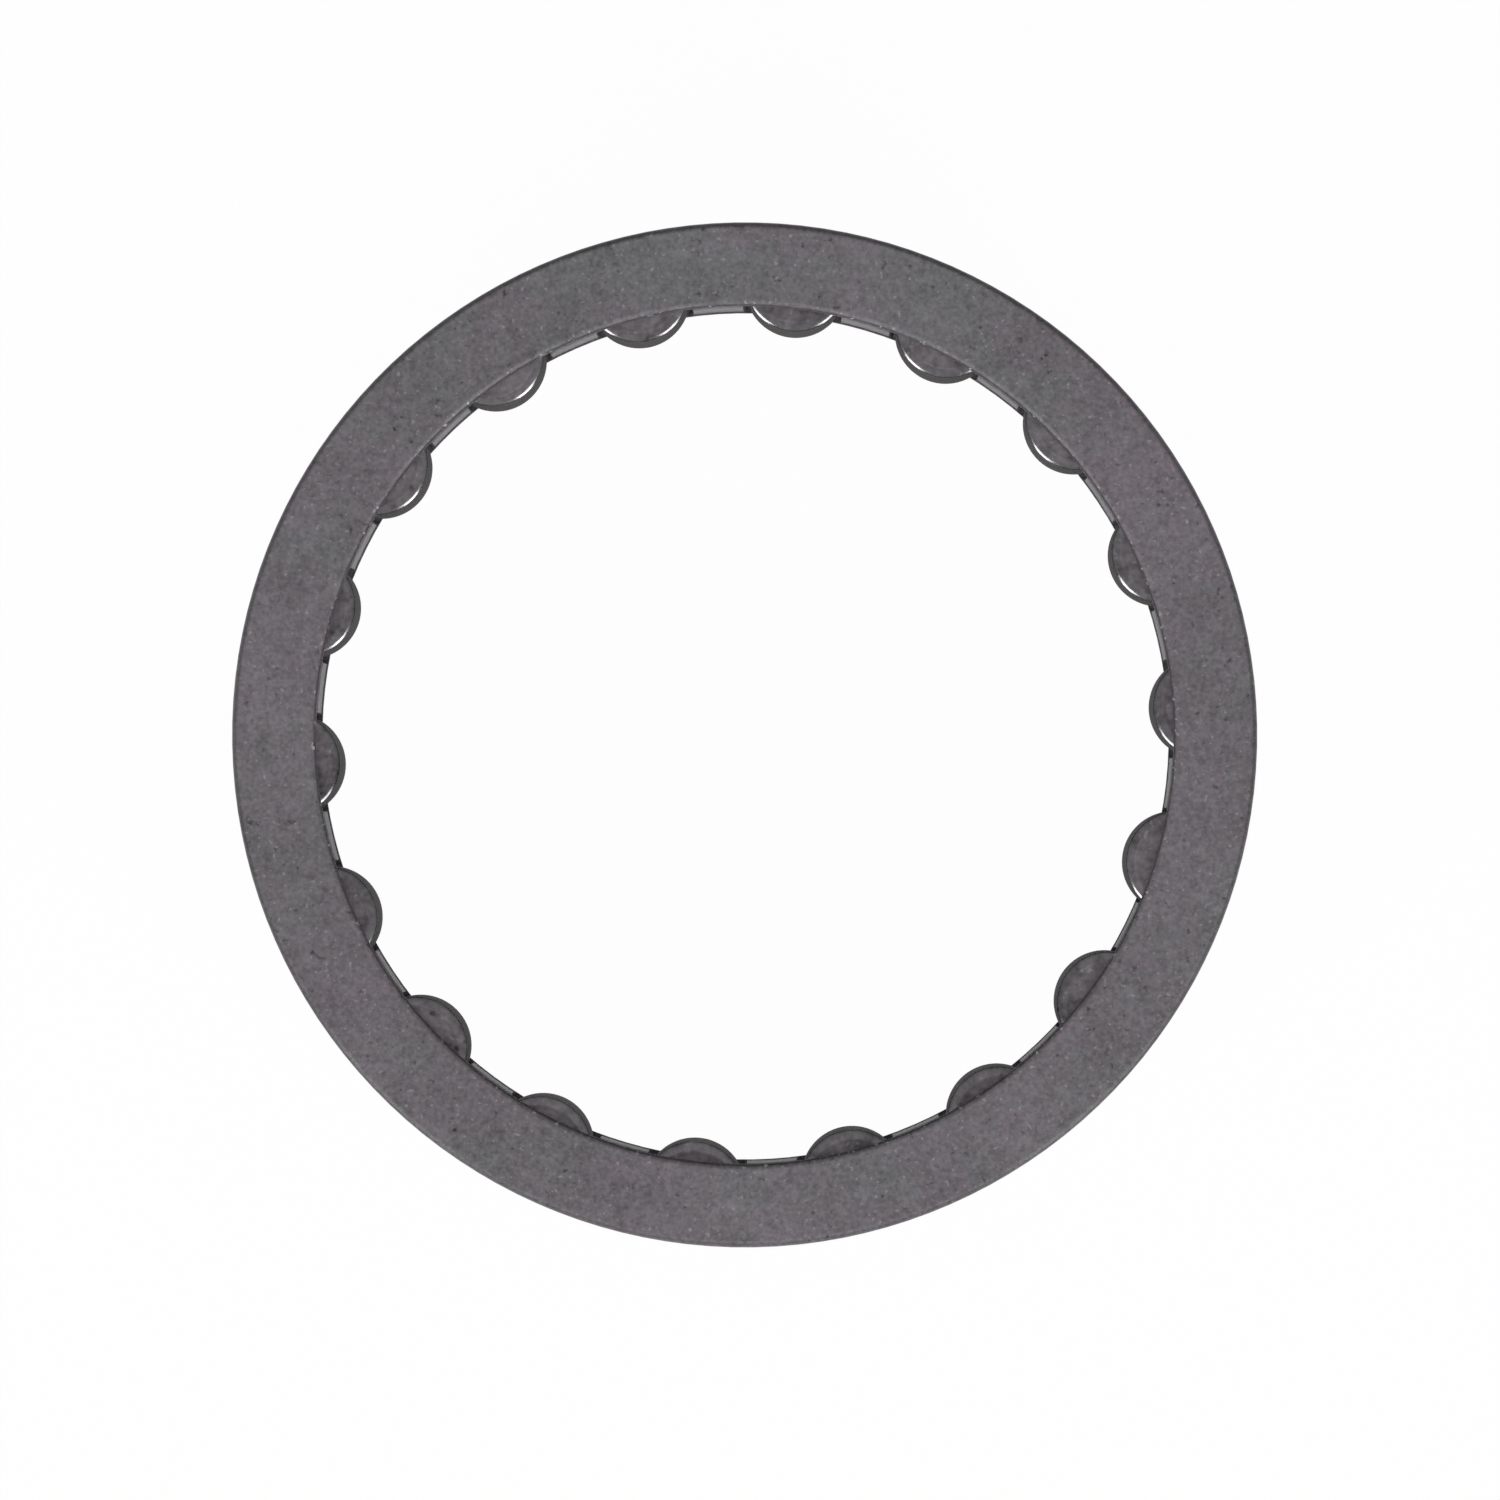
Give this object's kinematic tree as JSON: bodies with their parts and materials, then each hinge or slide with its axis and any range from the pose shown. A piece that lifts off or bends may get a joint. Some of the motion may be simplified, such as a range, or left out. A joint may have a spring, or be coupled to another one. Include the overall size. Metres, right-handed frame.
{
  "type": "needle roller bearing",
  "caption": "Needle roller and cage assembly: a machined steel cage with end rims holds needle rollers that run directly on a shaft and in a housing bore.",
  "frame": {"origin": "centre of the bearing, on its axis and halfway between the cage's end faces", "axes": "+Z along the bearing's axis, towards the end face that is seen when it lies flat; +X is 3.6 degrees clockwise of the first roller, seen from +Z"},
  "size_m": [0.0298, 0.0298, 0.017],
  "materials": {
    "cage_steel": "matt grey phosphated steel",
    "roller_steel": "hardened bearing steel, ground on the side and fine-turned on the ends"
  },
  "bodies": {
    "cage": {"cage": "cage_steel"},
    "needle_roller_01": {"needle_roller_01": "roller_steel"},
    "needle_roller_02": {"needle_roller_02": "roller_steel"},
    "needle_roller_03": {"needle_roller_03": "roller_steel"},
    "needle_roller_04": {"needle_roller_04": "roller_steel"},
    "needle_roller_05": {"needle_roller_05": "roller_steel"},
    "needle_roller_06": {"needle_roller_06": "roller_steel"},
    "needle_roller_07": {"needle_roller_07": "roller_steel"},
    "needle_roller_08": {"needle_roller_08": "roller_steel"},
    "needle_roller_09": {"needle_roller_09": "roller_steel"},
    "needle_roller_10": {"needle_roller_10": "roller_steel"},
    "needle_roller_11": {"needle_roller_11": "roller_steel"},
    "needle_roller_12": {"needle_roller_12": "roller_steel"},
    "needle_roller_13": {"needle_roller_13": "roller_steel"},
    "needle_roller_14": {"needle_roller_14": "roller_steel"},
    "needle_roller_15": {"needle_roller_15": "roller_steel"},
    "needle_roller_16": {"needle_roller_16": "roller_steel"},
    "needle_roller_17": {"needle_roller_17": "roller_steel"},
    "needle_roller_18": {"needle_roller_18": "roller_steel"}
  },
  "joints": [
    {"name": "needle_roller_01_spin", "type": "hinge", "parent": "cage", "child": "needle_roller_01", "pos_m": [0.01337, 0.00084, 0], "axis": [0, 0, 1], "continuous": true},
    {"name": "needle_roller_02_spin", "type": "hinge", "parent": "cage", "child": "needle_roller_02", "pos_m": [0.01217, 0.00532, 0], "axis": [0, 0, 1], "continuous": true},
    {"name": "needle_roller_03_spin", "type": "hinge", "parent": "cage", "child": "needle_roller_03", "pos_m": [0.00967, 0.0092, 0], "axis": [0, 0, 1], "continuous": true},
    {"name": "needle_roller_04_spin", "type": "hinge", "parent": "cage", "child": "needle_roller_04", "pos_m": [0.0059, 0.01188, 0], "axis": [0, 0, 1], "continuous": true},
    {"name": "needle_roller_05_spin", "type": "hinge", "parent": "cage", "child": "needle_roller_05", "pos_m": [0.00148, 0.01323, 0], "axis": [0, 0, 1], "continuous": true},
    {"name": "needle_roller_06_spin", "type": "hinge", "parent": "cage", "child": "needle_roller_06", "pos_m": [-0.00313, 0.01292, 0], "axis": [0, 0, 1], "continuous": true},
    {"name": "needle_roller_07_spin", "type": "hinge", "parent": "cage", "child": "needle_roller_07", "pos_m": [-0.00735, 0.01106, 0], "axis": [0, 0, 1], "continuous": true},
    {"name": "needle_roller_08_spin", "type": "hinge", "parent": "cage", "child": "needle_roller_08", "pos_m": [-0.01072, 0.0079, 0], "axis": [0, 0, 1], "continuous": true},
    {"name": "needle_roller_09_spin", "type": "hinge", "parent": "cage", "child": "needle_roller_09", "pos_m": [-0.01282, 0.00377, 0], "axis": [0, 0, 1], "continuous": true},
    {"name": "needle_roller_10_spin", "type": "hinge", "parent": "cage", "child": "needle_roller_10", "pos_m": [-0.01327, -0.00083, 0], "axis": [0, 0, 1], "continuous": true},
    {"name": "needle_roller_11_spin", "type": "hinge", "parent": "cage", "child": "needle_roller_11", "pos_m": [-0.01218, -0.00532, 0], "axis": [0, 0, 1], "continuous": true},
    {"name": "needle_roller_12_spin", "type": "hinge", "parent": "cage", "child": "needle_roller_12", "pos_m": [-0.00956, -0.00911, 0], "axis": [0, 0, 1], "continuous": true},
    {"name": "needle_roller_13_spin", "type": "hinge", "parent": "cage", "child": "needle_roller_13", "pos_m": [-0.00596, -0.012, 0], "axis": [0, 0, 1], "continuous": true},
    {"name": "needle_roller_14_spin", "type": "hinge", "parent": "cage", "child": "needle_roller_14", "pos_m": [-0.00149, -0.01332, 0], "axis": [0, 0, 1], "continuous": true},
    {"name": "needle_roller_15_spin", "type": "hinge", "parent": "cage", "child": "needle_roller_15", "pos_m": [0.00314, -0.01297, 0], "axis": [0, 0, 1], "continuous": true},
    {"name": "needle_roller_16_spin", "type": "hinge", "parent": "cage", "child": "needle_roller_16", "pos_m": [0.0074, -0.01113, 0], "axis": [0, 0, 1], "continuous": true},
    {"name": "needle_roller_17_spin", "type": "hinge", "parent": "cage", "child": "needle_roller_17", "pos_m": [0.01057, -0.0078, 0], "axis": [0, 0, 1], "continuous": true},
    {"name": "needle_roller_18_spin", "type": "hinge", "parent": "cage", "child": "needle_roller_18", "pos_m": [0.01259, -0.0037, 0], "axis": [0, 0, 1], "continuous": true}
  ]
}
